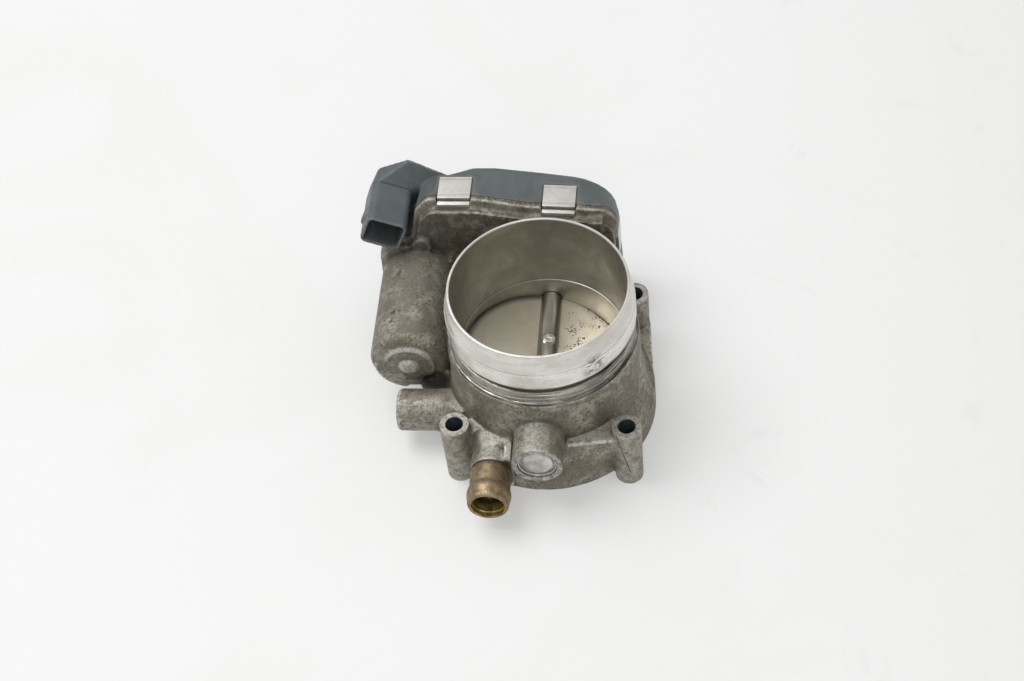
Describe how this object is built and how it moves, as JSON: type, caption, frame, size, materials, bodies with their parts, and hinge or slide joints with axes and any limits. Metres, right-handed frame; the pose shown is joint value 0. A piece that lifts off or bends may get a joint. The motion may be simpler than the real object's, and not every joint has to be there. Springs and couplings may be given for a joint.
{
  "type": "throttle body",
  "caption": "Electronic throttle body: butterfly plate on a sprung shaft in a flanged cast bore, turned by a motor and gear train under a clipped cover.",
  "frame": {"origin": "centre of the bore on the manifold mounting face", "axes": "+Z along the bore, out of the inlet; the throttle shaft runs along Y with the gear case at +Y; the motor is at -X"},
  "size_m": [0.1259, 0.1395, 0.0783],
  "materials": {
    "cast_aluminium": "die-cast, weathered",
    "plug_steel": "pressed",
    "brass": "tarnished",
    "bearing_steel": "ground",
    "seal_rubber": "matte",
    "shaft_steel": "ground",
    "plate_metal": "satin",
    "screw_steel": "zinc plated",
    "gear_plastic": "moulded",
    "magnet": "sintered",
    "spring_steel": "drawn wire",
    "black_plastic": "moulded",
    "can_steel": "drawn",
    "bronze": "sintered",
    "carbon": "matte",
    "contact_metal": "plated",
    "core_steel": "laminated",
    "copper": "enamelled wire",
    "cover_plastic": "moulded, slate",
    "clip_steel": "nickel-coloured",
    "board_green": "solder mask"
  },
  "bodies": {
    "housing_body": {"housing": "cast_aluminium", "bearing_plug": "plug_steel", "hose_nipple": "brass", "front_bearing_cup": "bearing_steel", "front_bearing_needles": "bearing_steel", "front_shaft_seal": "seal_rubber", "rear_shaft_seal": "seal_rubber", "rear_bearing_outer": "bearing_steel", "rear_bearing_balls": "bearing_steel", "return_spring": "spring_steel", "spring_sleeve": "black_plastic", "stop_screw": "screw_steel", "idler_pin": "bearing_steel", "motor_can": "can_steel", "motor_magnets": "magnet", "motor_rear_bush": "bronze", "motor_end_plate": "can_steel", "motor_front_bush": "bronze", "motor_screws": "screw_steel", "motor_wave_washer": "spring_steel", "brush_card": "black_plastic", "brushes": "carbon", "motor_terminals": "contact_metal", "gear_cover": "cover_plastic", "cover_seal": "seal_rubber", "cover_clips": "clip_steel", "connector_pins": "contact_metal", "motor_contacts": "contact_metal", "sensor_board": "board_green", "hall_sensor": "black_plastic"},
    "throttle": {"throttle_shaft": "shaft_steel", "throttle_plate": "plate_metal", "plate_screws": "screw_steel", "rear_bearing_inner": "bearing_steel", "sector_gear": "gear_plastic", "position_magnet": "magnet"},
    "idler": {"idler_gear": "gear_plastic"},
    "rotor": {"motor_shaft": "shaft_steel", "armature_core": "core_steel", "armature_windings": "copper", "commutator": "copper", "motor_pinion": "bronze"}
  },
  "joints": [
    {"name": "throttle_turn", "type": "hinge", "parent": "housing_body", "child": "throttle", "pos_m": [0, 0, 0.03], "axis": [0, 1, 0], "range_deg": [-7.5, 77.5], "stiffness_Nm_per_rad": 0.25, "deforming": ["return_spring"]},
    {"name": "idler_turn", "type": "hinge", "parent": "housing_body", "child": "idler", "pos_m": [-0.03013, 0.06, 0.03641], "axis": [0, 1, 0], "range_deg": [-285, 28]},
    {"name": "motor_turn", "type": "hinge", "parent": "housing_body", "child": "rotor", "pos_m": [-0.0576, 0.03, 0.031], "axis": [0, 1, 0], "range_deg": [-148, 1525]}
  ],
  "couplings": [
    {"joint": "idler_turn", "follows": "throttle_turn", "ratio": -3.6667},
    {"joint": "motor_turn", "follows": "throttle_turn", "ratio": 19.667}
  ]
}
